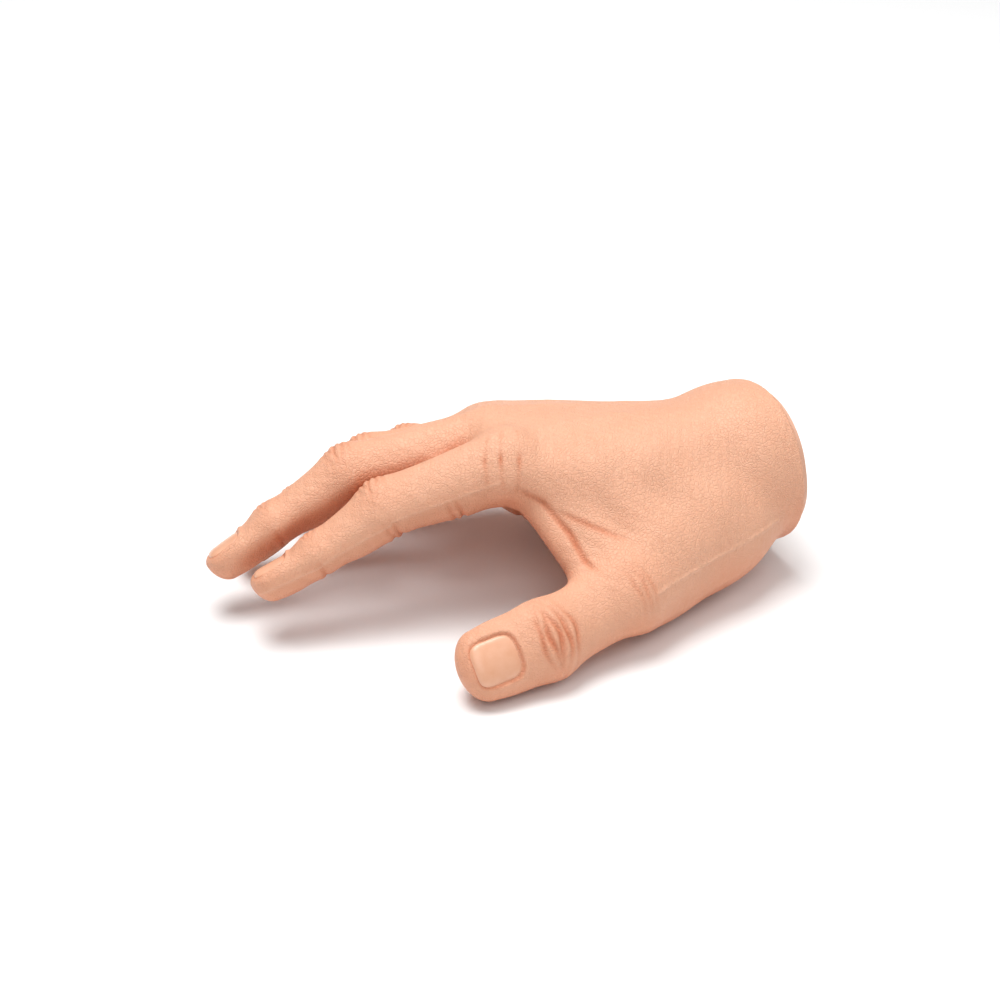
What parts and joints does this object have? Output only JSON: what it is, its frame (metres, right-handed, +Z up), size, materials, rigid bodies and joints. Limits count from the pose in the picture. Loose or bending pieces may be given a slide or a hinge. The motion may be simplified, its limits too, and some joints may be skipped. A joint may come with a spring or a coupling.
{
  "type": "prosthetic hand",
  "caption": "Passive right hand prosthesis: a soft skin-coloured glove over a posable metal armature, with bending fingers and thumb and a threaded socket at the wrist.",
  "frame": {"origin": "on the wrist thread's axis at the outer face of the wrist plate", "axes": "+X leaves the wrist towards the forearm along the thread, +Z is up with the hand lying palm down, -Y is the thumb's side"},
  "size_m": [0.1893, 0.1334, 0.0652],
  "materials": {
    "skin": "matte",
    "nail": "satin",
    "foam": "matte",
    "plate": "satin",
    "insert": "satin",
    "steel": "satin",
    "link_metal": "satin",
    "frame_metal": "satin"
  },
  "bodies": {
    "palm": {"palm_glove": "skin", "palm_foam": "foam", "palm_frame": "frame_metal", "thumb_bracket": "frame_metal", "thumb_pivot": "steel", "wrist_plate": "plate", "thread_insert": "insert", "knuckle_axle": "steel", "axle_nut_1": "steel", "axle_nut_2": "steel", "wrist_screw_1": "steel", "wrist_screw_2": "steel", "wrist_screw_3": "steel", "wrist_screw_4": "steel"},
    "finger_bases": {"index_base_glove": "skin", "index_base_link": "link_metal", "index_middle_pin": "steel", "middle_base_glove": "skin", "middle_base_link": "link_metal", "middle_middle_pin": "steel", "ring_base_glove": "skin", "ring_base_link": "link_metal", "ring_middle_pin": "steel", "little_base_glove": "skin", "little_base_link": "link_metal", "little_middle_pin": "steel"},
    "index_middle": {"index_middle_glove": "skin", "index_middle_link": "link_metal", "index_tip_pin": "steel"},
    "index_tip": {"index_tip_glove": "skin", "index_tip_link": "link_metal", "index_nail": "nail"},
    "middle_middle": {"middle_middle_glove": "skin", "middle_middle_link": "link_metal", "middle_tip_pin": "steel"},
    "middle_tip": {"middle_tip_glove": "skin", "middle_tip_link": "link_metal", "middle_nail": "nail"},
    "ring_middle": {"ring_middle_glove": "skin", "ring_middle_link": "link_metal", "ring_tip_pin": "steel"},
    "ring_tip": {"ring_tip_glove": "skin", "ring_tip_link": "link_metal", "ring_nail": "nail"},
    "little_middle": {"little_middle_glove": "skin", "little_middle_link": "link_metal", "little_tip_pin": "steel"},
    "little_tip": {"little_tip_glove": "skin", "little_tip_link": "link_metal", "little_nail": "nail"},
    "thumb_base": {"thumb_base_glove": "skin", "thumb_base_link": "link_metal", "thumb_middle_pin": "steel"},
    "thumb_middle": {"thumb_middle_glove": "skin", "thumb_middle_link": "link_metal", "thumb_tip_pin": "steel"},
    "thumb_tip": {"thumb_tip_glove": "skin", "thumb_tip_link": "link_metal", "thumb_nail": "nail"}
  },
  "joints": [
    {"name": "knuckles", "type": "hinge", "parent": "palm", "child": "finger_bases", "pos_m": [-0.08475, 0.0301, 0.011], "axis": [-0.4175, -0.8232, 0.3847], "range_deg": [-20, 40]},
    {"name": "index_middle_hinge", "type": "hinge", "parent": "finger_bases", "child": "index_middle", "pos_m": [-0.13658, 0.01426, 0.00888], "axis": [-0.343, -0.8591, 0.3799], "range_deg": [-10, 55]},
    {"name": "index_tip_hinge", "type": "hinge", "parent": "index_middle", "child": "index_tip", "pos_m": [-0.15952, 0.01831, -0.00266], "axis": [-0.343, -0.8591, 0.3799], "range_deg": [-8, 35]},
    {"name": "middle_middle_hinge", "type": "hinge", "parent": "finger_bases", "child": "middle_middle", "pos_m": [-0.13828, 0.03804, 0.01011], "axis": [-0.2963, -0.8781, 0.3756], "range_deg": [-10, 55]},
    {"name": "middle_tip_hinge", "type": "hinge", "parent": "middle_middle", "child": "middle_tip", "pos_m": [-0.16528, 0.04178, -0.00243], "axis": [-0.2963, -0.8781, 0.3756], "range_deg": [-8, 35]},
    {"name": "ring_middle_hinge", "type": "hinge", "parent": "finger_bases", "child": "ring_middle", "pos_m": [-0.12379, 0.05439, 0.00249], "axis": [-0.3125, -0.8718, 0.3772], "range_deg": [-10, 55]},
    {"name": "ring_tip_hinge", "type": "hinge", "parent": "ring_middle", "child": "ring_tip", "pos_m": [-0.1491, 0.05861, -0.00872], "axis": [-0.3125, -0.8718, 0.3772], "range_deg": [-8, 35]},
    {"name": "little_middle_hinge", "type": "hinge", "parent": "finger_bases", "child": "little_middle", "pos_m": [-0.10316, 0.06731, -0.0046], "axis": [-0.3557, -0.8535, 0.3809], "range_deg": [-10, 55]},
    {"name": "little_tip_hinge", "type": "hinge", "parent": "little_middle", "child": "little_tip", "pos_m": [-0.12261, 0.07293, -0.01019], "axis": [-0.3557, -0.8535, 0.3809], "range_deg": [-8, 35]},
    {"name": "thumb_swing", "type": "hinge", "parent": "palm", "child": "thumb_base", "pos_m": [-0.03358, -0.01853, 0.00107], "axis": [-0.3628, 0.1225, 0.9238], "range_deg": [-10, 12]},
    {"name": "thumb_middle_hinge", "type": "hinge", "parent": "thumb_base", "child": "thumb_middle", "pos_m": [-0.07394, -0.03611, -0.01245], "axis": [-0.2099, 0.5816, 0.7859], "range_deg": [-35, 10]},
    {"name": "thumb_tip_hinge", "type": "hinge", "parent": "thumb_middle", "child": "thumb_tip", "pos_m": [-0.10717, -0.04146, -0.01736], "axis": [-0.0853, 0.5929, 0.8008], "range_deg": [-45, 12]}
  ]
}
